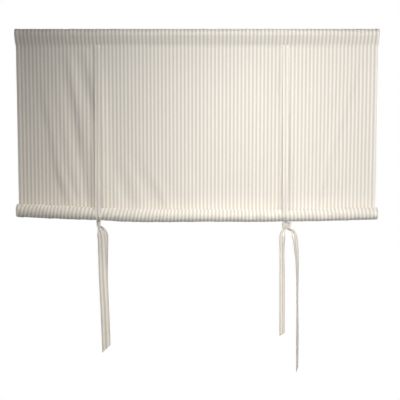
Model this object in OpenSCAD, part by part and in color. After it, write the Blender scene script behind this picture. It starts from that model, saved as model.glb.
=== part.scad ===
// Tie-up fabric blind. A striped cloth hangs from a pole in its sewn pocket. Its lower part is rolled
// up to the front round a hem dowel, and two pairs of cloth ties are knotted under the roll.
// x runs to the right, y to the wall and z up. The origin is the middle of the pole's axis.

/* [Pole] */
// Outside diameter of the pole
pole_d = 28; // [20:1:35]
// Wall of the pole's tube
pole_wall = 1; // [0.8:0.1:2]
// How far the pole's ends lie inside the pocket
pole_inset = 5; // [0:1:30]
// Slack of the pocket round the pole
pocket_slack = 0.5; // [0.4:0.1:1.5]

/* [Cloth] */
// Width of the cloth
cloth_w = 1200; // [900:10:1800]
// Thickness of the cloth
cloth_t = 0.6; // [0.4:0.05:0.8]
// Height of the pocket seam below the pole's axis
seam_drop = 36; // [30:1:60]
// How far behind the pole's axis the seam hangs
seam_back = 5; // [0:0.5:10]
// Gap between the two layers at the pocket seam
seam_gap = 0.2; // [0.1:0.05:0.5]
// How much each side edge draws in above the roll
side_draw = 2.7; // [0:0.1:6]
// Depth of the drag folds above the roll
fold_depth = 4; // [0:0.5:8]

/* [Roll] */
// Height of the roll's centre below the pole's axis at mid-width
roll_drop = 600; // [350:5:1000]
// How far behind the pole's axis the panel meets the roll
roll_back = 20; // [10:1:30]
// Outside diameter of the roll
roll_d = 42; // [36:1:60]
// Distance from one turn of the roll to the next
turn_pitch = 1.7; // [1.5:0.1:3]
// How far each turn's ends lie inside the turn around it
turn_step = 0.5; // [0:0.1:1]
// Rise of the roll's ends above its middle
roll_bow = 12; // [4:1:30]
// Extra rise of the roll's left end, and fall of its right end
roll_tilt = 5; // [0:1:15]

/* [Dowel] */
// Diameter of the hem dowel in the middle of the roll
dowel_d = 10; // [6:1:12]
// Slack of the innermost turn round the dowel
dowel_slack = 0.8; // [0.6:0.1:1.5]
// How far the dowel's ends lie inside the roll
dowel_inset = 12; // [5:1:40]

/* [Ties] */
// Flat width of a tie
tie_w = 28; // [20:1:34]
// Thickness of a tie, four layers of cloth
tie_t = 1.4; // [1:0.1:2]
// Width of a tie where it is drawn tight over the cloth
tie_tight_w = 18; // [14:1:20]
// Width of a tie bunched up in its knot
tie_knot_w = 4.4; // [3.6:0.2:4.6]
// Thickness of a tie bunched up in its knot
tie_knot_t = 4.8; // [3:0.2:5]
// Gap between a tie and the cloth under it
tie_gap = 0.3; // [0.2:0.05:0.5]
// Place of the left ties from the cloth's left edge
left_tie_in = 271; // [150:1:400]
// Place of the right ties from the cloth's right edge
right_tie_in = 307; // [150:1:400]
// Gap between the roll and the top of a knot
knot_gap = 5; // [4:0.5:10]
// Height of the left knot
left_knot_h = 15; // [15:1:30]
// Height of the right knot
right_knot_h = 18; // [16:1:30]

/* [Tails] */
// Length of the left front tie's tail below its knot
left_front_tail = 392; // [250:1:700]
// Length of the left back tie's tail below its knot
left_back_tail = 412; // [250:1:700]
// Length of the right front tie's tail below its knot
right_front_tail = 480; // [250:1:700]
// Length of the right back tie's tail below its knot
right_back_tail = 355; // [250:1:700]
// Slant of a left tail's cut end
left_cut = 27; // [0:1:30]
// Slant of the right front tail's cut end
right_front_cut = 15; // [0:1:30]
// Slant of the right back tail's cut end
right_back_cut = 9; // [0:1:30]

/* [Hidden] */

// Fold lines of the cloth, from left to right. Each has its place on the roll and at the seam, as
// shares of its stretch of the width, and how far it stands out, as a share of the fold depth.
left_folds = [[0, 0, 0], [0.3, 0.11, 0], [0.45, 0.19, 0.7], [0.6, 0.28, -1], [0.7, 0.39, 0.7],
              [0.8, 0.5, -1], [0.9, 0.7, 0.7], [1, 1, -0.8]];
middle_folds = [[0.06, 0.06, 0.3], [0.25, 0.25, 0], [0.45, 0.45, 0.4], [0.7, 0.7, 0], [0.95, 0.95, 0.3]];
right_folds = [[0, 0, -0.6], [0.1, 0.25, 0.3], [0.25, 0.6, 0.6], [0.42, 0.86, -1], [0.55, 0.92, 0.5],
               [1, 1, 0]];

// Wraps of a tie round the roll: angle on the roll, and width as a share of the tight width
front_wrap = [[183, 1], [165, 0.95], [148, 0.8], [132, 0.65], [118, 0.5]];
back_wrap = [[-3, 1], [15, 0.95], [32, 0.8], [48, 0.65], [62, 0.5]];

// Knots: sideways place from the tie and half-widths across and along y, as shares of the flat width,
// and the angle round the knot's upright axis at which the front tie comes in
left_knot = [0.25, 0.18, 0.165, -140];
right_knot = [0.215, 0.48, 0.165, -115];
front_leaves = -630;
back_leaves = -450;

// Tails: share of the length, place from the knot's axis in x and y and width as shares of the flat
// width, and the angle that the tie faces
left_front_rows = [[0.023, 0.36, 0.14, 0.5, 84], [0.077, 0.45, 0.14, 1, 80], [0.2, 0.43, 0.14, 1, 85],
                   [0.43, 0.36, 0.11, 1, 94], [0.7, 0.46, 0.11, 1, 92], [1, 0.61, 0.11, 1, 90]];
left_back_rows = [[0.022, -0.07, -0.18, 0.5, -92], [0.068, 0.07, -0.21, 1, -100],
                  [0.2, 0.21, -0.21, 1, -97], [0.42, 0.32, -0.18, 1, -86], [0.67, 0.5, -0.18, 1, -88],
                  [1, 0.66, -0.18, 1, -90]];
right_front_rows = [[0.021, 0.71, 0.11, 0.4, 110], [0.054, 0.93, 0.04, 0.7, 135], [0.12, 1.11, 0, 1, 150],
                    [0.22, 1.25, 0, 1, 160], [0.45, 1.3, 0, 1, 164], [0.8, 1.29, 0, 1, 160],
                    [1, 1.25, 0, 1, 163]];
right_back_rows = [[0.028, -0.43, -0.14, 0.4, -75], [0.067, -0.5, -0.14, 0.7, -55],
                   [0.125, -0.52, -0.11, 1, -40], [0.5, -0.48, -0.11, 1, -39], [1, -0.46, -0.11, 1, -41]];

half_w = cloth_w / 2;
pole_len = cloth_w - 2 * pole_inset;
dowel_len = cloth_w - 2 * dowel_inset;
left_tie_x = -half_w + left_tie_in;
right_tie_x = half_w - right_tie_in;
tie_area = tie_w * tie_t;

// Pocket: the cloth's middle surface lies on this radius round the pole between two tangents
pocket_steps = 14;
pocket_r = pole_d / 2 + pocket_slack + cloth_t / 2;
seam_front = [seam_back, -seam_drop];
seam_behind = [seam_back + cloth_t + seam_gap, -seam_drop];
pocket_start = polar(seam_behind) + acos(pocket_r / norm(seam_behind));
pocket_end = polar(seam_front) - acos(pocket_r / norm(seam_front)) + 360;

// Roll: a spiral of the cloth's middle surface, from the panel at the back, under, up the front and in
panel_steps = 8;
outer_step = 20;
inner_step = 36;
outer_r = (roll_d - cloth_t) / 2;
inner_r = dowel_d / 2 + dowel_slack + cloth_t / 2;
roll_y = roll_back - outer_r;
last_angle = 360 * (outer_r - inner_r) / turn_pitch;
roll_angles = concat([for (a = [0:outer_step:359]) a], [for (a = [360:inner_step:last_angle]) a]);
knot_steps = 28;
dowel_steps = 10;
dowel_sides = 20;

function polar(p) = atan2(p[1], p[0]);
function unit(v) = v / norm(v);
function mix(a, b, share) = a + (b - a) * share;

// Height of the roll's centre, which bows and tilts along the width
function roll_z(x) = -roll_drop + roll_bow * pow(x / half_w, 2) - roll_tilt * x / half_w;
function roll_slope(x) = (2 * roll_bow * x / half_w - roll_tilt) / half_w;
function spiral_r(angle) = outer_r - turn_pitch * angle / 360;
function drawn_in(x, draw) = x * (1 - draw / half_w);

// Fold lines as [x on the roll, x at the seam, stand-out]
function fold_lines(rows, x0, x1) =
    [for (r = rows) [mix(x0, x1, r[0]), mix(x0, x1, r[1]), r[2] * fold_depth]];
lines = concat(fold_lines(left_folds, -half_w, left_tie_x),
               fold_lines(middle_folds, left_tie_x, right_tie_x),
               fold_lines(right_folds, right_tie_x, half_w));

// Points of the cloth's middle surface along one fold line, from the pocket's back edge to the dowel
function pocket_point(line, angle) = [line[1], pocket_r * cos(angle), pocket_r * sin(angle)];
function panel_point(line, share) =
    [drawn_in(mix(line[1], line[0], share), side_draw * (1 + share) / 2),
     mix(seam_back, roll_back, share) + line[2] * sin(180 * share),
     mix(-seam_drop, roll_z(line[0]), share)];
function roll_point(line, angle) =
    [drawn_in(line[0], turn_step * angle / 360),
     roll_y + spiral_r(angle) * cos(angle),
     roll_z(line[0]) - spiral_r(angle) * sin(angle)];
function cloth_line(line) = concat(
    [[line[1], seam_behind[0], seam_behind[1]]],
    [for (i = [0:pocket_steps]) pocket_point(line, mix(pocket_start, pocket_end, i / pocket_steps))],
    [for (i = [0:panel_steps - 1]) panel_point(line, i / panel_steps)],
    [for (a = roll_angles) roll_point(line, a)]);

// Face and back points of the cloth along one line, half a thickness to either side
function facing(p, q) = let (d = unit([q[1] - p[1], q[2] - p[2]])) [0, d[1], -d[0]];
function thicken(line) = [for (i = [0:len(line) - 1])
    let (last = len(line) - 1,
         before = facing(line[max(i - 1, 0)], line[max(i, 1)]),
         after = facing(line[min(i, last - 1)], line[min(i + 1, last)]),
         offset = (before + after) / (1 + before * after) * cloth_t / 2)
    [line[i] + offset, line[i] - offset]];

// A closed solid from a grid of face and back points, grid[row][column] = [face, back]
module sheet(grid) {
    rows = len(grid);
    columns = len(grid[0]);
    function at(r, c, side) = (r * columns + c) * 2 + side;
    function quad(a, b, c, d) = [[a, b, c], [a, c, d]];
    faces = concat(
        [for (r = [0:rows - 2], c = [0:columns - 2])
            each quad(at(r, c, 0), at(r + 1, c, 0), at(r + 1, c + 1, 0), at(r, c + 1, 0))],
        [for (r = [0:rows - 2], c = [0:columns - 2])
            each quad(at(r, c, 1), at(r, c + 1, 1), at(r + 1, c + 1, 1), at(r + 1, c, 1))],
        [for (r = [0:rows - 2], c = [0, columns - 1]) let (p = c == 0 ? 1 : 0, q = 1 - p)
            each quad(at(r, c, p), at(r + 1, c, p), at(r + 1, c, q), at(r, c, q))],
        [for (c = [0:columns - 2], r = [0, rows - 1]) let (p = r == 0 ? 0 : 1, q = 1 - p)
            each quad(at(r, c, p), at(r, c + 1, p), at(r, c + 1, q), at(r, c, q))]);
    polyhedron(points = [for (row = grid, pair = row) each pair], faces = faces);
}

// Stations of a tie: [place, direction it faces, width, thickness, slant of a cut end]
function wrap_station(x, angle, w) =
    let (t = tie_area / w,
         r = spiral_r(angle) + cloth_t / 2 + tie_gap + t / 2,
         out = [0, cos(angle), 0] - sin(angle) * unit([-roll_slope(x), 0, 1]))
    [[x, roll_y, roll_z(x)] + r * out, out, w, t, 0];
function knot_station(axis, knot, knot_h, angle, share) =
    [axis + [knot[1] * tie_w * cos(angle), knot[2] * tie_w * sin(angle), -knot_h * share],
     [cos(angle), sin(angle), 0], tie_knot_w, tie_knot_t, 0];
function tail_station(start, row, tail, cut) =
    let (w = row[3] * tie_w)
    [start + [row[1] * tie_w, row[2] * tie_w, -tail * row[0]], [cos(row[4]), sin(row[4]), 0],
     w, tie_area / w, row[0] == 1 ? cut : 0];

// Edges of a tie at one station as face and back points, square to its run between the stations beside it
function tie_section(last, here, next) =
    let (run = unit(next[0] - last[0]),
         side = unit(cross(run, here[1])),
         half = cross(side, run) * here[3] / 2,
         slant = [0, 0, here[4] * sign(side[0])])
    [for (s = [-0.5, 0.5]) let (edge = here[0] + s * (side * here[2] + slant)) [edge + half, edge - half]];

// One tie: sewn in at the seam, tight over the roll, twisted with its partner and hanging free.
// The way is 1 for the tie in front of the cloth and -1 for the one behind it.
module tie(x, way, wrap, knot, knot_h, tail, rows, cut) {
    tight_t = tie_area / tie_tight_w;
    lead = tight_t / 2 + cloth_t / 2 + tie_gap;
    sewn_at = [x, seam_back - way * lead, -seam_drop - cloth_t];
    axis = [x + knot[0] * tie_w, roll_y, roll_z(x) - roll_d / 2 - knot_gap];
    comes_in = way == 1 ? knot[3] : knot[3] + 180;
    leaves = way == 1 ? front_leaves : back_leaves;
    over_roll = [for (w = wrap) wrap_station(x, w[0], w[1] * tie_tight_w)];
    twist = [for (i = [0:knot_steps]) let (share = i / knot_steps)
        knot_station(axis, knot, knot_h, mix(comes_in, leaves, share), share)];
    hanging = [for (r = rows) tail_station(axis - [0, 0, knot_h], r, tail, cut)];
    stations = concat([[sewn_at, [0, -way, 0], tie_tight_w, tight_t, 0]], over_roll, twist, hanging);
    end = len(stations) - 1;
    sheet([for (i = [0:end]) tie_section(stations[max(i - 1, 0)], stations[i], stations[min(i + 1, end)])]);
}

module head_pole() {
    color("whitesmoke")
        rotate([0, 90, 0])
            difference() {
                cylinder(d = pole_d, h = pole_len, center = true, $fn = 96);
                cylinder(d = pole_d - 2 * pole_wall, h = pole_len + 2, center = true, $fn = 96);
            }
}

module blind_cloth() {
    color("ivory")
        sheet([for (line = lines) thicken(cloth_line(line))]);
}

// The dowel bends with the roll. Its round section is pairs of points above and below its axis.
module bottom_dowel() {
    color("burlywood")
        sheet([for (i = [0:dowel_steps]) let (x = dowel_len * (i / dowel_steps - 0.5))
            [for (k = [0.5:dowel_sides / 2]) let (a = 360 * k / dowel_sides, r = dowel_d / 2)
                [for (way = [1, -1]) [x, roll_y + r * cos(a), roll_z(x) + way * r * sin(a)]]]]);
}

module left_front_tie() {
    color("linen")
        tie(left_tie_x, 1, front_wrap, left_knot, left_knot_h, left_front_tail, left_front_rows, left_cut);
}

module left_back_tie() {
    color("linen")
        tie(left_tie_x, -1, back_wrap, left_knot, left_knot_h, left_back_tail, left_back_rows, left_cut);
}

module right_front_tie() {
    color("linen")
        tie(right_tie_x, 1, front_wrap, right_knot, right_knot_h, right_front_tail, right_front_rows,
            right_front_cut);
}

module right_back_tie() {
    color("linen")
        tie(right_tie_x, -1, back_wrap, right_knot, right_knot_h, right_back_tail, right_back_rows,
            right_back_cut);
}

head_pole();
blind_cloth();
bottom_dowel();
left_front_tie();
left_back_tie();
right_front_tie();
right_back_tie();
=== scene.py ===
"""Looks of a tie-up blind: striped cotton on a pole, rolled up to the front and tied with cloth ties.

Sizes are in millimetres and in the part's own frame: x to the right, y to the wall, z up, from the middle
of the pole's axis. They become metres where a mesh is made. Lamps alone are placed in metres.
"""

import math

import bpy
import numpy as np
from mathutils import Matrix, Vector


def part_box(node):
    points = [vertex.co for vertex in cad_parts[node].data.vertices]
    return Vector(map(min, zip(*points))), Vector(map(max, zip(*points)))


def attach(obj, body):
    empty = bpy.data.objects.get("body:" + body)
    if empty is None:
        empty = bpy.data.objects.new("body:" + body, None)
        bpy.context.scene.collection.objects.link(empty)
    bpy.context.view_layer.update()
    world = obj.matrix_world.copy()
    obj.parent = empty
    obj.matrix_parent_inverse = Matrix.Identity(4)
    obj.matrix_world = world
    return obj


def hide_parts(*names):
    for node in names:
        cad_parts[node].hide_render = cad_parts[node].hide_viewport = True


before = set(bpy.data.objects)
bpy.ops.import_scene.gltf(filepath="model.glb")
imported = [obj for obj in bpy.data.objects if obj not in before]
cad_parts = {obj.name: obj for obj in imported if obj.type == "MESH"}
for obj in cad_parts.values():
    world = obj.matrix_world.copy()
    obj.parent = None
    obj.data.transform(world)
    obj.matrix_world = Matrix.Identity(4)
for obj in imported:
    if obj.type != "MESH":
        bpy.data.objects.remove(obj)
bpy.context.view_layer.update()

MM = 0.001
BODY = "root"

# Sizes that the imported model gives
HALF_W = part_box("blind_cloth")[1].x / MM
POLE_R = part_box("head_pole")[1].z / MM

# Cloth and its pocket
CLOTH_T = 0.6
POCKET_SLACK = 0.5
SEAM_DROP = 36.0
SEAM_BACK = 5.0
SEAM_GAP = 0.2
SIDE_DRAW = 2.7
SIDE_HEM_W = 12.0
SIDE_HEM_T = 0.5

# Roll
ROLL_DROP = 600.0
ROLL_BACK = 20.0
ROLL_D = 42.0
TURN_PITCH = 1.7
TURN_STEP = 0.5
ROLL_BOW = 12.0
ROLL_TILT = 5.0
DOWEL_D = 10.0
DOWEL_SLACK = 0.8

# Ties
TIE_W = 28.0
TIE_T = 1.0
TIE_GAP = 0.4
LEFT_TIE_IN = 271.0
RIGHT_TIE_IN = 307.0
LEFT_TIE_X = LEFT_TIE_IN - HALF_W
RIGHT_TIE_X = HALF_W - RIGHT_TIE_IN
KNOT_GAP = 5.0

# Stripes: one light and one dark band to a pitch
STRIPE_PITCH = 12.6
STRIPE_DARK_AT = 9.46
TIE_STRIPE_PITCH = 12.3

# Folds of the panel, from left to right: lines of x, z and steepness in hundredths. Across a line of
# positive steepness the cloth steps forward from left to right, and across a negative one it steps back.
FOLDS = [
    [(-520, -123, 0), (-506, -255, 3.5), (-483, -387, 3.8), (-470, -453, 5), (-444, -539, 5),
     (-437, -572, 4)],
    [(-487, -222, 0), (-477, -255, -1.2), (-460, -387, -1.2), (-447, -453, -2.2), (-417, -539, -3.7),
     (-407, -572, -3)],
    [(-480, -90, 0), (-473, -123, 0.6), (-460, -255, 1.5), (-440, -387, 1.6), (-427, -453, 2),
     (-401, -539, 1.2), (-394, -572, 1)],
    [(-463, -90, 0), (-457, -123, -0.8), (-444, -189, -2.3), (-424, -321, -3.9), (-401, -453, -4.4),
     (-384, -539, -3.6), (-377, -572, -2.6)],
    [(-440, -37, 0), (-437, -63, 0.8), (-427, -123, 2.6), (-417, -189, 4.7), (-394, -321, 5),
     (-374, -453, 2.9), (-364, -502, 3), (-357, -572, 2)],
    [(-417, -37, 0), (-414, -63, -1.8), (-401, -123, -3.5), (-387, -189, -5), (-371, -255, -5.4),
     (-357, -321, -3.1), (-354, -387, -0.8), (-354, -453, 0)],
    [(-387, -37, 0), (-384, -63, 1.4), (-367, -123, 3.4), (-354, -189, 4.2), (-338, -255, 2),
     (-334, -321, 0)],
    [(-357, -37, 0), (-354, -63, -2.4), (-341, -123, -0.9), (-338, -169, 0)],
    [(-328, -90, 0), (-331, -189, 1.5), (-331, -255, 5), (-334, -387, 5), (-341, -453, 5),
     (-344, -539, 5.5), (-344, -572, 4)],
    [(-308, -44, 0), (-305, -123, -1.6), (-301, -189, -2.4), (-301, -255, -4.4), (-301, -387, -4),
     (-301, -539, -3), (-301, -572, -2)],
    [(-281, -436, 0), (-265, -502, -4), (-255, -539, -4), (-248, -572, -2.7)],
    [(-261, -354, 0), (-242, -453, 1.4), (-218, -519, 2.5), (-209, -572, 1.8)],
    [(-235, -387, 0), (-212, -453, -1.6), (-185, -502, -3.2), (-166, -572, -2.2)],
    [(-215, -354, 0), (-172, -453, 1.3), (-142, -502, 2.7), (-122, -539, 3.8), (-109, -572, 2.7)],
    [(-156, -436, 0), (-109, -502, -1.6), (-93, -539, -2.5), (-83, -572, -1.8)],
    [(-122, -436, 0), (-70, -502, 1.6), (-50, -572, 1.1)],
    [(-40, -436, 0), (-7, -502, -1.8), (10, -572, -1.1)],
    [(152, -387, 0), (172, -502, 2), (175, -572, 2)],
    [(202, -90, 0), (218, -222, -1.8), (212, -387, -1.5), (218, -572, -1.2)],
    [(496, -73, 0), (490, -123, -1.5), (470, -189, -2.2), (437, -321, -2.2), (430, -387, -1.8),
     (401, -486, 0)],
    [(546, -90, 0), (520, -189, 6), (500, -255, 6.6), (460, -387, 6.6), (427, -502, 5.8),
     (407, -572, 4)],
    [(506, -387, 0), (490, -453, -2), (470, -502, -2.2), (457, -539, -2), (444, -572, -1.6)],
    [(477, -37, 0), (453, -90, 1.5), (424, -156, 1.2), (387, -222, 0)],
]

# Half the width of a fold line's step, and how much the steps are raised
FOLD_REACH = 10.0
FOLD_GAIN = 9.0

# The steps are added up at even places that go past the cloth's edges. What they come to over a broad
# stretch is taken off again, and they end over the last share of the panel, above the roll.
FOLD_PLACES = 3.0
FOLD_PAST = 150.0
FOLD_BROAD = 75.0
FOLD_BROAD_PLACES = 60
FOLD_END = 0.03

# The roll's unevenness: x and how much its radius differs there
ROLL_SWELL = [(-600, 1.2), (-450, 1.8), (-350, 0), (-308, 0), (-250, 1.6), (-155, 1.2), (60, -0.3),
              (200, 0.7), (272, 0), (314, 0), (360, 0.5), (480, 0.2), (600, -0.4)]

# The roll's sag: x and how much its outer turn hangs lower there
ROLL_SAG = [(-600, 0), (-450, 0), (-370, 1.5), (-290, 2.3), (-209, 3.2), (-130, 2.6), (-50, 1.3),
            (30, 0.3), (600, 0)]

# Sideways pull of the threads over a quarter turn of the roll: x and the pull there. It lasts from one
# angle of the roll to another. Angles of the roll start at the wall: 90 degrees is below and 180 in front.
SKEW = [(-600, 7), (-530, 8), (-437, 4), (-330, 6), (-248, 7.5), (-139, 6), (-90, 3), (-40, 1.5),
        (110, 1), (290, -2.5), (410, -3), (540, -2)]
SKEW_FROM, SKEW_TO = 60, 300

# Gathers of the pocket: their depth, the lengths and the slant of their ripples and how far these are
# raised, the lengths over which they come and go and their least share, and how far above the seam they
# are full
GATHER = 1.4
GATHER_LENGTHS = (17, 29, 43, 71)
GATHER_SLANT = 0.6
GATHER_RAISED = 0.6
GATHER_PATCHES = (260, 410)
GATHER_LEAST = 0.25
GATHER_FULL = 12.0

# Creases of the roll: x and their depth there, the most that one dips, the lengths and the slant of their
# ripples and how far these are raised, and their share below, which grows to 1 over some degrees past the
# bottom
CREASE = [(-600, 3.2), (-100, 3.2), (100, 2.2), (600, 2.2)]
CREASE_IN = 0.8
CREASE_LENGTHS = (19, 31, 47, 83)
CREASE_SLANT = -1.1
CREASE_RAISED = 0.2
CREASE_BELOW = 0.4
CREASE_GROWS = 60
BOTTOM = 90

# The roll's unevenness grows over its first degrees and fades up to an angle on its second turn. The ties
# hold the creases flat over about this width to each side.
UNEVEN_GROWS = 60
UNEVEN_TO = 400
UNEVEN_FADES = 200
TIE_HOLDS = 26

# Fineness of the cloth's mesh: shares of the way up behind the pocket, points round the pole and shares of
# the way down to the seam, rows of the panel, degrees between rows on the roll's outer turn and rows on
# each inner turn
BEHIND_SHARES = (0, 0.12, 0.5)
POCKET_POINTS = 22
FRONT_SHARES = (0.25, 0.5, 0.75, 0.92)
PANEL_ROWS = 44
OUTER_STEP = 12
INNER_ROWS = 11

# Its columns: their step, the side strips without any, those near a tie, those at a hem, and the least
# step
COLUMN_STEP = 6
SIDE_STRIP = 20
NEAR_TIE_STEP = 5
NEAR_TIE = (-100, 64)
HEM_COLUMNS = (0, 0.8, SIDE_HEM_W - 0.6, SIDE_HEM_W + 0.6)
LEAST_STEP = 0.7

POCKET_R = POLE_R + POCKET_SLACK + CLOTH_T / 2
OUTER_R = (ROLL_D - CLOTH_T) / 2
INNER_R = DOWEL_D / 2 + DOWEL_SLACK + CLOTH_T / 2
ROLL_Y = ROLL_BACK - OUTER_R
LAST_ANGLE = 360 * (OUTER_R - INNER_R) / TURN_PITCH


def mix(a, b, share):
    return a + (b - a) * share


def ease(t):
    t = np.clip(t, 0, 1)
    return t * t * (3 - 2 * t)


def unit(v):
    return v / np.linalg.norm(v, axis=-1, keepdims=True)


def at_x(table, x):
    """Values at x of a table of places and values."""
    places, values = zip(*table)
    return np.interp(x, places, values)


def roll_z(x, inwards=0.0):
    """Height of the roll's middle, for its outer turn or for a turn that is a share of the way inwards."""
    sag = at_x(ROLL_SAG, x)
    return -ROLL_DROP + ROLL_BOW * (x / HALF_W) ** 2 - ROLL_TILT * x / HALF_W - sag * (1 - inwards)


# Meshes

def grid_mesh(name, face, back, flat, material):
    """A closed sheet from two grids of points, face and back, with flat coordinates in mm as its UV map."""
    rows, columns = face.shape[:2]
    count = rows * columns
    index = np.arange(count).reshape(rows, columns)

    def quads(a):
        return np.stack([a[:-1, :-1], a[1:, :-1], a[1:, 1:], a[:-1, 1:]], -1).reshape(-1, 4)

    def strip(a, b):
        return np.stack([a[:-1], a[1:], b[1:], b[:-1]], -1)

    sides = [quads(index), quads(index + count)[:, ::-1]]
    sides += [strip(index[:, 0] + count, index[:, 0]), strip(index[:, -1], index[:, -1] + count)]
    sides += [strip(index[0], index[0] + count), strip(index[-1] + count, index[-1])]
    smooth = len(sides[0]) + len(sides[1])
    faces = np.concatenate(sides)
    points = np.concatenate([face.reshape(-1, 3), back.reshape(-1, 3)]) * MM
    mesh = bpy.data.meshes.new(name)
    mesh.from_pydata(points.tolist(), [], faces.tolist())
    mesh.polygons.foreach_set("use_smooth", np.arange(len(faces)) < smooth)
    corner = np.empty(len(mesh.loops), np.int32)
    mesh.loops.foreach_get("vertex_index", corner)
    uv = np.concatenate([flat.reshape(-1, 2)] * 2)[corner] * MM
    mesh.uv_layers.new(name="flat").data.foreach_set("uv", uv.astype(np.float32).ravel())
    return add_piece(name, mesh, material)


def add_piece(name, mesh, material):
    mesh.materials.append(material)
    mesh.update()
    piece = bpy.data.objects.new(name, mesh)
    bpy.context.scene.collection.objects.link(piece)
    return piece


def grid_normals(points):
    """Unit normals of a grid of points, to the left of the way from row to row and column to column."""
    return unit(np.cross(np.gradient(points, axis=1), np.gradient(points, axis=0)))


# Cloth

def fold_standout(x, z):
    """How far the panel stands towards the room at each x of one level, from the folds at that level."""
    even = np.arange(-HALF_W - FOLD_PAST, HALF_W + FOLD_PAST + 1, FOLD_PLACES)
    height = np.zeros_like(even)
    for line in FOLDS:
        px, pz, steep = np.array(line[::-1], float).T
        place = np.interp(z, pz, px)
        strength = np.interp(z, pz, steep, left=steep[0], right=0)
        height += strength * np.tanh((even - place) / FOLD_REACH)
    around = np.arange(-FOLD_BROAD_PLACES, FOLD_BROAD_PLACES + 1)
    window = np.exp(-(around * FOLD_PLACES / FOLD_BROAD) ** 2 / 2)
    ends = np.pad(height, FOLD_BROAD_PLACES, mode="edge")
    height -= np.convolve(ends, window / window.sum(), mode="valid")
    return np.interp(x, even, height) * FOLD_REACH * FOLD_GAIN / 100


RIPPLE_PHASE = 1.7


def ripple(x, along, lengths, slant):
    """An uneven ripple along x between about -1 and 1 that leans with the distance along the cloth."""
    at = x[None, :] + slant * along[:, None]
    waves = [np.sin(2 * math.pi * at / length + RIPPLE_PHASE * k) for k, length in enumerate(lengths)]
    return sum(waves) / len(waves)


def pocket_profile():
    """Points of the pocket from its back edge round the pole to the seam, as y and z."""
    seam_front = np.array([SEAM_BACK, -SEAM_DROP])
    seam_behind = np.array([SEAM_BACK + CLOTH_T + SEAM_GAP, -SEAM_DROP])

    def tangent(seam, way):
        reach = math.acos(POCKET_R / np.linalg.norm(seam))
        return math.atan2(seam[1], seam[0]) + way * reach

    start = tangent(seam_behind, 1)
    end = tangent(seam_front, -1) + 2 * math.pi
    arc = np.linspace(start, end, POCKET_POINTS)
    arc = np.stack([np.cos(arc), np.sin(arc)], 1) * POCKET_R
    behind = [mix(seam_behind, arc[0], s) for s in BEHIND_SHARES]
    front = [mix(arc[-1], seam_front, s) for s in FRONT_SHARES]
    return np.array([*behind, *arc, *front])


def cloth_columns():
    """Places of the mesh's columns across the cloth, closer together near the ties."""
    even = np.arange(-HALF_W + SIDE_STRIP, HALF_W - SIDE_STRIP + 1, COLUMN_STEP)
    left, right = NEAR_TIE
    near_ties = [np.arange(x + left, x + right, NEAR_TIE_STEP) for x in (LEFT_TIE_X, RIGHT_TIE_X)]
    hem = HALF_W - np.array(HEM_COLUMNS)
    places = np.unique(np.round(np.concatenate([even, *near_ties, hem, -hem]), 1))
    return places[np.concatenate([[True], np.diff(places) > LEAST_STEP])]


def cloth_points(x):
    """The cloth's middle surface, row by row from the pocket's back edge to the dowel."""
    profile = pocket_profile()
    gathers = ripple(x, profile[:, 1], GATHER_LENGTHS, GATHER_SLANT)
    held = GATHER_LEAST + (1 - GATHER_LEAST) * ripple(x, np.zeros(1), GATHER_PATCHES, 0) ** 2
    rows = []
    for (y, z), gather in zip(profile, gathers * held):
        out = np.array([y, z]) / math.hypot(y, z)
        push = GATHER * np.maximum(gather + GATHER_RAISED, 0) * ease((z + SEAM_DROP) / GATHER_FULL)
        rows.append(np.stack([x, y + out[0] * push, z + out[1] * push], 1))
    for share in np.arange(PANEL_ROWS) / PANEL_ROWS:
        drawn = x * (1 - SIDE_DRAW * (1 + share) / 2 / HALF_W)
        z = mix(-SEAM_DROP, roll_z(x), share)
        stands = fold_standout(drawn, z.mean()) * ease((1 - share) / FOLD_END)
        rows.append(np.stack([drawn, mix(SEAM_BACK, ROLL_BACK, share) - stands, z], 1))
    swell = at_x(ROLL_SWELL, x)
    tied = 1 - sum(np.exp(-((x - tie) / TIE_HOLDS) ** 2) for tie in (LEFT_TIE_X, RIGHT_TIE_X))
    angles = roll_angles()
    creases = ripple(x, angles * OUTER_R * math.pi / 180, CREASE_LENGTHS, CREASE_SLANT)
    deep = at_x(CREASE, x)
    for angle, crease in zip(angles, creases):
        a = math.radians(angle)
        uneven = ease((UNEVEN_TO - angle) / UNEVEN_FADES) * ease(angle / UNEVEN_GROWS)
        creased = mix(CREASE_BELOW, 1, ease((angle - BOTTOM) / CREASE_GROWS))
        lumps = np.maximum(deep * (crease + CREASE_RAISED), -CREASE_IN) * tied * creased
        r = OUTER_R - TURN_PITCH * angle / 360 + uneven * (swell + lumps)
        drawn = x * (1 - TURN_STEP * angle / 360 / HALF_W)
        middle = roll_z(x, angle / LAST_ANGLE)
        rows.append(np.stack([drawn, ROLL_Y + r * math.cos(a), middle - r * math.sin(a)], 1))
    return np.array(rows)


def roll_angles():
    """Angles of the mesh's rows on the roll, from the panel to the dowel."""
    return np.concatenate([np.arange(0, 360, OUTER_STEP), np.arange(360, LAST_ANGLE, 360 / INNER_ROWS)])


def roll_skew(x):
    """How far the threads lie sideways on each row: on the roll they are drawn askew."""
    pull = at_x(SKEW, x)
    turned = np.clip(roll_angles(), SKEW_FROM, SKEW_TO) - SKEW_FROM
    above = len(pocket_profile()) + PANEL_ROWS
    return -np.concatenate([np.zeros(above), turned])[:, None] / 90 * pull[None, :]


def make_cloth(material):
    x = cloth_columns()
    points = cloth_points(x)
    normals = grid_normals(points)
    hem = np.where(np.abs(x) > HALF_W - SIDE_HEM_W, SIDE_HEM_T, 0)[None, :, None]
    length = np.linalg.norm(np.diff(points, axis=0), axis=2).mean(1)
    along = np.concatenate([[0], np.cumsum(length)])
    flat = np.stack(np.broadcast_arrays(x[None, :] + roll_skew(x), along[:, None]), -1)
    face = points + normals * CLOTH_T / 2
    back = points - normals * (CLOTH_T / 2 + hem)
    piece = grid_mesh("blind_cloth_piece", face, back, flat, material)
    return piece, along[-1]


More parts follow.
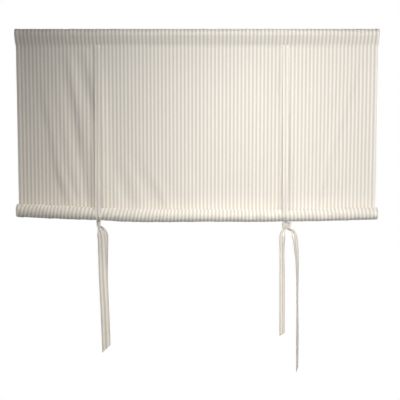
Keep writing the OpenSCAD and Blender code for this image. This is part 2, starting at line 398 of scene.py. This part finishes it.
# Sewing thread: its radius and sides, and the length and pitch of its stitches
THREAD_R = 0.25
THREAD_SIDES = 5
STITCH_L = 2.4
STITCH_PITCH = 3.2

# Along a stitch: shares of its length, and its height and width there in radii of the thread
STITCH_SHARES = (0, 0.15, 0.5, 0.85, 1)
STITCH_HEIGHTS = (-0.6, 0.5, 0.9, 0.5, -0.6)
STITCH_WIDTHS = (0.5, 1, 1, 1, 0.5)

# Where it runs: above the seam, in from the side, and round the roll up to an angle. A seam's line has a
# point at each step, and a hem's line is found on a strip of cloth of this half width.
SEAM_STITCH_UP = 2.5
HEM_STITCH_IN = 10.5
HEM_STITCH_TURN = 330
SEAM_STEP = 4.0
HEM_STRIP = 2.0


def seam_paths():
    """The pocket's seam: lines along its front and its back, each with the way that its face looks."""
    x = np.arange(-HALF_W + SEAM_STEP, HALF_W - SEAM_STEP + 1, SEAM_STEP)
    profile = pocket_profile()
    paths = []
    for edge, inner in ((np.array([SEAM_BACK, -SEAM_DROP]), profile[-2]), (profile[0], profile[2])):
        way = unit(inner - edge)
        out = np.array([-way[1], way[0]]) if inner[0] < edge[0] else np.array([way[1], -way[0]])
        y, z = edge + way * SEAM_STITCH_UP + out * CLOTH_T / 2
        path = np.stack(np.broadcast_arrays(x, y, z), 1)
        paths.append((path, np.broadcast_to([0, *out], path.shape)))
    return paths


def hem_paths(side):
    """One side hem: a line down the cloth's face, and one down its back and round the roll."""
    patch = cloth_points(side * (HALF_W - HEM_STITCH_IN) + np.array([-HEM_STRIP, 0, HEM_STRIP]))
    middle, normal = patch[:, 1], grid_normals(patch)[:, 1]
    panel = len(pocket_profile())
    roll = panel + PANEL_ROWS
    turned = roll + np.searchsorted(roll_angles(), HEM_STITCH_TURN)
    face = (middle + normal * CLOTH_T / 2)[:roll]
    back = (middle - normal * (CLOTH_T / 2 + SIDE_HEM_T))[panel:turned]
    return [(face, normal[:roll]), (back, -normal[panel:turned])]


def stitch_rings(path, out):
    """Rings of points round each stitch of a path. A stitch dips into the cloth at both its ends."""
    gone = np.concatenate([[0], np.cumsum(np.linalg.norm(np.diff(path, axis=0), axis=1))])
    share = np.array(STITCH_SHARES)
    high = THREAD_R * np.array(STITCH_HEIGHTS)
    wide = THREAD_R * np.array(STITCH_WIDTHS)
    at = np.arange(STITCH_PITCH / 2, gone[-1] - STITCH_L, STITCH_PITCH)[:, None] + share * STITCH_L
    centre = np.stack([np.interp(at, gone, path[:, i]) for i in range(3)], -1)
    up = unit(np.stack([np.interp(at, gone, out[:, i]) for i in range(3)], -1))
    side = unit(np.cross(np.gradient(centre, axis=1), up))
    turn = 2 * math.pi * np.arange(THREAD_SIDES)[:, None] / THREAD_SIDES
    ring = np.cos(turn) * side[:, :, None] + np.sin(turn) * up[:, :, None]
    return (centre + up * high[:, None])[:, :, None] + ring * wide[:, None, None]


def make_thread(material):
    paths = seam_paths() + hem_paths(-1) + hem_paths(1)
    rings = np.concatenate([stitch_rings(*path) for path in paths])
    stitches, rows, sides = rings.shape[:3]
    index = np.arange(rings[..., 0].size).reshape(stitches, rows, sides)
    after = np.roll(index, -1, axis=2)
    quads = np.stack([index[:, :-1], after[:, :-1], after[:, 1:], index[:, 1:]], -1).reshape(-1, 4)
    caps = np.concatenate([index[:, 0, ::-1], index[:, -1]])
    mesh = bpy.data.meshes.new("sewing_thread")
    mesh.from_pydata((rings.reshape(-1, 3) * MM).tolist(), [], quads.tolist() + caps.tolist())
    mesh.polygons.foreach_set("use_smooth", [True] * len(mesh.polygons))
    return add_piece("sewing_thread", mesh, material)


# Ties

# Each knot is two strands that twist round one upright axis, which lies beside the ties. Its start is an
# angle round that axis, and so are those at which the strands leave: the front strand at the back, to the
# right, and the back strand at the front, to the left.
LEFT_KNOT = {"shift": 1, "half_x": 5, "half_y": 4.6, "height": 15, "start": -140}
RIGHT_KNOT = {"shift": 6, "half_x": 13.4, "half_y": 4.6, "height": 18, "start": -115}
FRONT_LEAVES, BACK_LEAVES = -630, -450
TWIST_STATIONS = 17

# Tails: length down from the knot, place from the knot's axis in x and y, and the way that the ribbon
# faces
LEFT_FRONT_ROWS = [(9, 15, 4, 84), (28, 18, 4, 80), (80, 17.5, 4, 85), (168, 15.5, 3, 94),
                   (275, 18.5, 3, 92), (392, 22.5, 3, 90)]
LEFT_BACK_ROWS = [(9, 2, -5, -92), (28, 8, -6, -100), (80, 11.5, -6, -97), (172, 14.5, -5, -86),
                  (276, 19.5, -5, -88), (412, 24, -5, -90)]
RIGHT_FRONT_ROWS = [(10, 20, 3, 110), (26, 26, 1, 132), (58, 31, 0, 142), (106, 35, 0, 148),
                    (160, 36, 0, 157), (216, 36.5, 0, 162), (384, 37.5, 0, 158), (480, 37.5, 0, 162)]
RIGHT_BACK_ROWS = [(10, -12, -4, -75), (24, -14, -4, -60), (44, -14.5, -3, -49), (178, -13.5, -3, -45),
                   (355, -13, -3, -43)]

# How much longer a tail is at one edge than at the other, and its end hem: length, rise and added
# thickness
LEFT_CUT = 27.0
RIGHT_FRONT_CUT = 15.0
RIGHT_BACK_CUT = 9.0
END_HEM_L = 9.0
END_HEM_RISE = 1.0
END_HEM_ADDS = 0.5

# How a tie is folded lengthwise: turn of its edges and turn along its middle in radians, squeeze of its
# width, and share of the width in an edge. It is sewn in at the seam, taut down to the roll, bunched at
# the knot, and opens over a length below it. A bend takes up FOLD_ARC of the width.
SEWN = (3.1, 0.0, 1.0, 0.18)
TAUT = (2.9, 0.0, 1.0, 0.18)
BUNCHED = (2.9, 2.6, 0.62, 0.22)
OPEN = (0.2, -0.12, 1.0, 0.18)
OPENS_OVER = 34.0
FOLD_ARC = 0.1

# Shares of the way from the seam to the roll, angles at which the ties lie on the roll, and how they bunch
# there
TAUT_SHARES = (0.02, 0.25, 0.5, 0.75, 0.97)
FRONT_WRAP = np.arange(183, 117, -13)
BACK_WRAP = np.arange(-3, 63, 13)
WRAP_BUNCHES = 0.75
WRAP_POWER = 1.5

# Fineness of a tie's mesh: rows down to the roll, step through the knot and some way past it, rows of the
# tail, columns, and columns added at each bend
TAUT_ROWS = 60
KNOT_STEP = 1.3
KNOT_PAST = 60.0
TAIL_ROWS = 80
TIE_COLUMNS = 17
BENDS = (0.18, 0.22, 0.5, 0.78, 0.82)
BEND_COLUMNS = 7
BEND_REACH = 0.6


def hermite(knots, values, at):
    """Smooth values at the given places, through the values at the knots."""
    h = np.diff(knots)[:, None]
    slope = np.diff(values, axis=0) / h
    inner = (slope[1:] * h[:-1] + slope[:-1] * h[1:]) / (h[1:] + h[:-1])
    tangent = np.concatenate([slope[:1], inner, slope[-1:]])
    k = np.clip(np.searchsorted(knots, at, side="right") - 1, 0, len(knots) - 2)
    t = ((at - knots[k]) / h[k, 0])[:, None]
    a, b = 2 * t**3 - 3 * t**2 + 1, t**3 - 2 * t**2 + t
    c, d = -2 * t**3 + 3 * t**2, t**3 - t**2
    return a * values[k] + b * h[k] * tangent[k] + c * values[k + 1] + d * h[k] * tangent[k + 1]


def tie_stations(x, way, knot, rows):
    """Points that a tie goes through, which way it faces there and how it is folded there."""
    lead = CLOTH_T / 2 + TIE_GAP + TIE_T
    stations = [((x, SEAM_BACK - way * lead, -SEAM_DROP), (0, -way, 0), SEWN)]
    angles = FRONT_WRAP if way == 1 else BACK_WRAP
    for angle in angles:
        a = math.radians(angle)
        r = OUTER_R - TURN_PITCH * angle / 360 + CLOTH_T / 2 + TIE_GAP + TIE_T
        out = np.array([0, math.cos(a), -math.sin(a)])
        place = np.array([x, ROLL_Y, roll_z(x)]) + r * out
        if angle == angles[0]:
            top = np.array(stations[0][0])
            stations += [(mix(top, place, s), (0, -way, 0), TAUT) for s in TAUT_SHARES]
        share = abs(angle - angles[0]) / abs(angles[-1] - angles[0])
        fold = mix(np.array(TAUT), np.array(BUNCHED), WRAP_BUNCHES * share**WRAP_POWER)
        stations.append((place, out, tuple(fold)))
    axis = np.array([x + knot["shift"], ROLL_Y, roll_z(x) - ROLL_D / 2 - KNOT_GAP])
    start = knot["start"] + (0 if way == 1 else 180)
    end = FRONT_LEAVES if way == 1 else BACK_LEAVES
    for share in np.linspace(0, 1, TWIST_STATIONS):
        a = math.radians(mix(start, end, share))
        out = (math.cos(a), math.sin(a), 0)
        place = axis + [knot["half_x"] * out[0], knot["half_y"] * out[1], -knot["height"] * share]
        stations.append((place, out, BUNCHED))
    for down, dx, dy, facing in rows:
        a = math.radians(facing)
        fold = mix(np.array(BUNCHED), np.array(OPEN), ease(down / OPENS_OVER))
        place = axis + [dx, dy, -knot["height"] - down]
        stations.append((place, (math.cos(a), math.sin(a), 0), tuple(fold)))
    return [np.array(column, float) for column in zip(*stations)]


def tie_section(fold, across):
    """A ribbon's section folded lengthwise: places and normals of its middle line, in width and facing."""
    edge_turn, middle_turn, squeeze, edge_share = fold

    def ramp(t):
        return ease((across - t) / FOLD_ARC + 0.5)

    turn = edge_turn * (1 - ramp(edge_share) - ramp(1 - edge_share)) + middle_turn * (ramp(0.5) - 0.5)
    step = np.diff(across) * TIE_W * squeeze
    middle = (turn[1:] + turn[:-1]) / 2
    w = np.concatenate([[0], np.cumsum(step * np.cos(middle))])
    n = np.concatenate([[0], np.cumsum(step * np.sin(middle))])
    place = np.stack([w - (w.max() + w.min()) / 2, n - (n.max() + n.min()) / 2], 1)
    return place, np.stack([-np.sin(turn), np.cos(turn)], 1)


def make_tie(name, x, way, knot, rows, cut, material):
    points, facings, folds = tie_stations(x, way, knot, rows)
    gone = np.concatenate([[0], np.cumsum(np.linalg.norm(np.diff(points, axis=0), axis=1))])
    taut_end, tail_start = gone[len(TAUT_SHARES)], gone[-len(rows) - 1]
    at = np.concatenate([np.linspace(0, taut_end, TAUT_ROWS)[:-1],
                         np.arange(taut_end, tail_start + KNOT_PAST, KNOT_STEP),
                         np.linspace(tail_start + KNOT_PAST, gone[-1], TAIL_ROWS)])
    centre = hermite(gone, points, at)
    facing = hermite(gone, facings, at)
    fold = np.stack([np.interp(at, gone, folds[:, i]) for i in range(folds.shape[1])], 1)
    along = unit(np.gradient(centre, at, axis=0))
    side = unit(np.cross(along, facing))
    out = np.cross(side, along)
    even = np.linspace(0, 1, TIE_COLUMNS)
    bends = [bend + FOLD_ARC * np.linspace(-BEND_REACH, BEND_REACH, BEND_COLUMNS) for bend in BENDS]
    across = np.unique(np.round(np.concatenate([even, *bends]), 3))
    across = across[(across >= 0) & (across <= 1)]
    face, back = [], []
    hem = ease((at - gone[-1] + END_HEM_L) / END_HEM_RISE) * END_HEM_ADDS + 1
    hanging = np.clip((at - tail_start) / (gone[-1] - tail_start), 0, 1)
    for i in range(len(at)):
        place, normal = tie_section(fold[i], across)
        line = centre[i] + place[:, :1] * side[i] + place[:, 1:] * out[i]
        line[:, 2] += cut * hanging[i] * place[:, 0] * np.sign(side[i, 0]) / TIE_W
        up = (normal[:, :1] * side[i] + normal[:, 1:] * out[i]) * TIE_T / 2 * hem[i]
        face.append(line + up)
        back.append(line - up)
    flat = np.stack(np.broadcast_arrays(((across - 0.5) * TIE_W)[None, :], at[:, None]), -1)
    piece = grid_mesh(name, np.array(face), np.array(back), flat, material)
    return piece, gone[-1]


# Materials

def new_material(name):
    material = bpy.data.materials.new(name)
    material.use_nodes = True
    nodes = material.node_tree.nodes
    return material, nodes, material.node_tree.links, nodes["Principled BSDF"]


def math_node(nodes, links, operation, *inputs):
    node = nodes.new("ShaderNodeMath")
    node.operation = operation
    for socket, value in zip(node.inputs, inputs):
        if isinstance(value, (int, float)):
            socket.default_value = value
        else:
            links.new(value, socket)
    return node.outputs[0]


def mix_colour(nodes, links, factor, a, b):
    node = nodes.new("ShaderNodeMix")
    node.data_type = "RGBA"
    node.inputs["A"].default_value = a
    node.inputs["B"].default_value = b
    links.new(factor, node.inputs["Factor"])
    return node.outputs["Result"]


def map_range(nodes, links, value, before, after, way="LINEAR"):
    node = nodes.new("ShaderNodeMapRange")
    node.interpolation_type = way
    node.inputs["From Min"].default_value, node.inputs["From Max"].default_value = before
    node.inputs["To Min"].default_value, node.inputs["To Max"].default_value = after
    links.new(value, node.inputs["Value"])
    return node.outputs[0]


def stretched_noise(nodes, links, vector, scale, detail):
    mapping = nodes.new("ShaderNodeMapping")
    mapping.inputs["Scale"].default_value = scale
    links.new(vector, mapping.inputs["Vector"])
    noise = nodes.new("ShaderNodeTexNoise")
    noise.inputs["Scale"].default_value = 1
    noise.inputs["Detail"].default_value = detail
    links.new(mapping.outputs[0], noise.inputs["Vector"])
    return noise.outputs[0]


def bump(nodes, links, height, relief, below):
    """A normal from a height, with the relief's strength and size in mm, on top of the normal below it."""
    strength, size = relief
    node = nodes.new("ShaderNodeBump")
    node.inputs["Strength"].default_value = strength
    node.inputs["Distance"].default_value = size * MM
    links.new(height, node.inputs["Height"])
    if below is not None:
        links.new(below, node.inputs["Normal"])
    return node.outputs[0]


# Striped cotton: its two colours, where the dark turns light as shares of the pitch from the dark stripe's
# middle, and the pitch of its yarns
LIGHT_STRIPE = (0.89, 0.865, 0.80, 1)
DARK_STRIPE = (0.68, 0.645, 0.585, 1)
STRIPE_EDGE = (0.21, 0.29)
YARN_PITCH = 0.7

# Noises per metre across and along the cloth, for yarns, slubs and creases, with their detail
YARNS = ((900, 14, 1), 3)
SLUBS = ((60, 700, 1), 3)
SOFT_CREASES = ((22, 9, 1), 2)

# What yarns and slubs add up to, and the shade and roughness that go with it
YARN_SUM = (0.6, 1.4)
YARN_SHADE = (0.93, 1.05)
YARN_ROUGHNESS = (0.94, 0.82)

# Strength and height of the weave's and of the creases' relief
WEAVE_RELIEF = (0.25, 0.05)
CREASE_RELIEF = (0.5, 2.0)


def striped_cotton(name, pitch, dark_at):
    """Woven stripes along the cloth's flat coordinates, with uneven yarns, a weave and soft creases."""
    material, nodes, links, shader = new_material(name)
    uv = nodes.new("ShaderNodeUVMap")
    uv.uv_map = "flat"
    split = nodes.new("ShaderNodeSeparateXYZ")
    links.new(uv.outputs[0], split.inputs[0])
    across, along = split.outputs[0], split.outputs[1]

    from_dark = math_node(nodes, links, "SUBTRACT", across, dark_at * MM)
    distance = math_node(nodes, links, "PINGPONG", from_dark, pitch / 2 * MM)
    edge = [share * pitch * MM for share in STRIPE_EDGE]
    stripe = map_range(nodes, links, distance, edge, (0, 1), "SMOOTHSTEP")
    colour = mix_colour(nodes, links, stripe, DARK_STRIPE, LIGHT_STRIPE)

    yarns = stretched_noise(nodes, links, uv.outputs[0], *YARNS)
    slubs = stretched_noise(nodes, links, uv.outputs[0], *SLUBS)
    uneven = math_node(nodes, links, "ADD", yarns, slubs)
    shade = map_range(nodes, links, uneven, YARN_SUM, YARN_SHADE)
    tone = nodes.new("ShaderNodeVectorMath")
    tone.operation = "SCALE"
    links.new(colour, tone.inputs[0])
    links.new(shade, tone.inputs["Scale"])
    links.new(tone.outputs[0], shader.inputs["Base Color"])

    turn = 2 * math.pi / (YARN_PITCH * MM)
    warp = math_node(nodes, links, "SINE", math_node(nodes, links, "MULTIPLY", across, turn))
    weft = math_node(nodes, links, "SINE", math_node(nodes, links, "MULTIPLY", along, turn))
    weave = math_node(nodes, links, "MULTIPLY", warp, weft)
    creases = stretched_noise(nodes, links, uv.outputs[0], *SOFT_CREASES)
    fine = bump(nodes, links, weave, WEAVE_RELIEF, None)
    soft = bump(nodes, links, creases, CREASE_RELIEF, fine)
    links.new(soft, shader.inputs["Normal"])
    links.new(map_range(nodes, links, uneven, YARN_SUM, YARN_ROUGHNESS), shader.inputs["Roughness"])
    shader.inputs["Specular IOR Level"].default_value = 0.25
    shader.inputs["Sheen Weight"].default_value = 0.08
    shader.inputs["Sheen Roughness"].default_value = 0.5
    return material


MOTTLE_DETAIL = 4
MOTTLE_RANGE = (0.3, 0.7)
MOTTLE_STRENGTH = 0.4


def mottled(name, scale, dark, light, roughness, height):
    """Two tones that follow a noise of the given scale along x, y and z, as do roughness and relief."""
    material, nodes, links, shader = new_material(name)
    place = nodes.new("ShaderNodeTexCoord")
    noise = stretched_noise(nodes, links, place.outputs["Object"], scale, MOTTLE_DETAIL)
    tone = map_range(nodes, links, noise, MOTTLE_RANGE, (0, 1))
    links.new(mix_colour(nodes, links, tone, (*dark, 1), (*light, 1)), shader.inputs["Base Color"])
    links.new(map_range(nodes, links, noise, MOTTLE_RANGE, roughness), shader.inputs["Roughness"])
    links.new(bump(nodes, links, noise, (MOTTLE_STRENGTH, height), None), shader.inputs["Normal"])
    return material


# Camera, light and floor

# The horizon lies above the picture's middle, so the camera looks down a little
FOCAL_PX = 905.0
IMAGE_PX = 400.0
HORIZON_PX = 51.5
SENSOR_MM = 36.0
CAMERA_AT = (10.2, -3011.0, -377.6)
CAMERA_DOWN = math.atan(HORIZON_PX / FOCAL_PX)

# Height and half size of the floor, and share of white in how it looks
FLOOR_Z = -2000.0
FLOOR_HALF = 2500.0
FLOOR_GLOW = 0.6

# Light that comes from all around
AMBIENT = (0.034, 0.027, 0.024)


def make_camera():
    data = bpy.data.cameras.new("camera")
    data.sensor_width = SENSOR_MM
    data.lens = FOCAL_PX / IMAGE_PX * SENSOR_MM
    camera = bpy.data.objects.new("camera", data)
    camera.location = [c * MM for c in CAMERA_AT]
    camera.rotation_euler = (math.pi / 2 - CAMERA_DOWN, 0, 0)
    bpy.context.scene.collection.objects.link(camera)
    bpy.context.scene.camera = camera


def area_light(name, at, aim, size, power, spread=180, colour=(1, 1, 1)):
    """A lamp: its place, the point it shines at and its size in metres, its power, spread and colour."""
    data = bpy.data.lights.new(name, "AREA")
    data.spread = math.radians(spread)
    data.shape = "RECTANGLE"
    data.size, data.size_y = size
    data.energy = power
    data.color = colour
    lamp = bpy.data.objects.new(name, data)
    lamp.location = at
    lamp.rotation_euler = (Vector(aim) - Vector(at)).to_track_quat("-Z", "Y").to_euler()
    lamp.visible_camera = False
    bpy.context.scene.collection.objects.link(lamp)


def seen_rays(nodes, links):
    """1 for a ray that shows the studio itself, directly, mirrored or through glass, and 0 for others."""
    path = nodes.new("ShaderNodeLightPath")
    seen = math_node(nodes, links, "MAXIMUM", path.outputs["Is Camera Ray"], path.outputs["Is Glossy Ray"])
    return math_node(nodes, links, "MAXIMUM", seen, path.outputs["Is Transmission Ray"])


def make_world(ambient):
    world = bpy.data.worlds.new("studio")
    bpy.context.scene.world = world
    world.use_nodes = True
    nodes, links = world.node_tree.nodes, world.node_tree.links
    soft = nodes["Background"]
    soft.inputs["Color"].default_value = (*ambient, 1)
    white = nodes.new("ShaderNodeBackground")
    white.inputs["Color"].default_value = (1, 1, 1, 1)
    choose = nodes.new("ShaderNodeMixShader")
    links.new(seen_rays(nodes, links), choose.inputs[0])
    links.new(soft.outputs[0], choose.inputs[1])
    links.new(white.outputs[0], choose.inputs[2])
    links.new(choose.outputs[0], nodes["World Output"].inputs["Surface"])


def floor_paint():
    """A pale paint that shows the object's shadow, mixed with white where it is seen."""
    material = mottled("floor_paint", (7, 7, 7), (0.70, 0.695, 0.68), (0.72, 0.715, 0.70),
                       (0.75, 0.85), 0.2)
    nodes, links = material.node_tree.nodes, material.node_tree.links
    glow = nodes.new("ShaderNodeEmission")
    choose = nodes.new("ShaderNodeMixShader")
    links.new(math_node(nodes, links, "MULTIPLY", seen_rays(nodes, links), FLOOR_GLOW), choose.inputs[0])
    links.new(nodes["Principled BSDF"].outputs[0], choose.inputs[1])
    links.new(glow.outputs[0], choose.inputs[2])
    links.new(choose.outputs[0], nodes["Material Output"].inputs["Surface"])
    return material


def make_floor():
    mesh = bpy.data.meshes.new("floor")
    s = FLOOR_HALF * MM
    z = FLOOR_Z * MM
    mesh.from_pydata([(-s, -s, z), (s, -s, z), (s, s, z), (-s, s, z)], [], [(0, 1, 2, 3)])
    mesh.materials.append(floor_paint())
    floor = bpy.data.objects.new("floor", mesh)
    bpy.context.scene.collection.objects.link(floor)


make_camera()
make_world(AMBIENT)
make_floor()
area_light("window", (0.54, -0.91, -0.064), (0.99, 0, 0.2), (1.59, 1.0), 6.1)
area_light("front", (0.22, -3.3, 0.03), (0.1, 0, -0.55), (1.4, 1.0), 1.35, spread=36.5)
area_light("upper_front", (0.1, -2.4, 0.8), (0.5, 0, -0.8), (1.6, 1.2), 3.6, spread=60)
area_light("lower_front", (0.05, -3.2, -0.3), (0, 0, -0.98), (1.4, 0.4), 0.7, spread=20,
           colour=(1, 0.95, 0.86))
area_light("upper_left", (-0.2, -0.5, 0.5), (-0.27, 0, -0.68), (1.3, 0.3), 0.62, spread=44,
           colour=(1, 0.93, 0.86))
area_light("right", (1.9, -0.8, -0.1), (0.2, 0, -0.5), (0.8, 1.0), 8, colour=(1, 0.92, 0.82))
area_light("lower_right", (1.7, -1.0, -0.9), (0.32, 0, -0.98), (0.5, 0.5), 0.18, spread=34)
area_light("left_back", (-1.9, 0.9, 0.2), (-0.6, 0, -0.35), (0.8, 0.8), 10)
area_light("back", (0.4, 2.6, 0.9), (0, 0, -0.5), (1.6, 1.2), 58)

stripe_cloth = striped_cotton("striped_cotton", STRIPE_PITCH, STRIPE_DARK_AT)
cloth, cloth_length = make_cloth(stripe_cloth)
thread_cotton = mottled("cotton_thread", (1500, 1500, 1500), (0.78, 0.75, 0.68), (0.9, 0.88, 0.82),
                        (0.7, 0.9), 0.1)
thread = make_thread(thread_cotton)
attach(cloth, BODY)
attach(thread, BODY)
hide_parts("blind_cloth")

tie_cloth = striped_cotton("tie_cotton", TIE_STRIPE_PITCH, 0)
TIES = {
    "left_front_tie": (LEFT_TIE_X, 1, LEFT_KNOT, LEFT_FRONT_ROWS, LEFT_CUT),
    "left_back_tie": (LEFT_TIE_X, -1, LEFT_KNOT, LEFT_BACK_ROWS, LEFT_CUT),
    "right_front_tie": (RIGHT_TIE_X, 1, RIGHT_KNOT, RIGHT_FRONT_ROWS, RIGHT_FRONT_CUT),
    "right_back_tie": (RIGHT_TIE_X, -1, RIGHT_KNOT, RIGHT_BACK_ROWS, RIGHT_BACK_CUT),
}
for node, measures in TIES.items():
    tie, tie_length = make_tie(node + "_piece", *measures, tie_cloth)
    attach(tie, BODY)
    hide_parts(node)

CAD_FINISHES = {
    "head_pole": mottled("pole_paint", (160, 160, 160), (0.8, 0.79, 0.76), (0.86, 0.855, 0.83),
                         (0.32, 0.42), 0.06),
    "bottom_dowel": mottled("dowel_wood", (9, 420, 420), (0.56, 0.40, 0.24), (0.76, 0.60, 0.41),
                            (0.55, 0.7), 0.15),
}
for node, finish in CAD_FINISHES.items():
    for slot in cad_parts[node].material_slots:
        slot.material = finish

bpy.context.scene.view_settings.view_transform = "Standard"
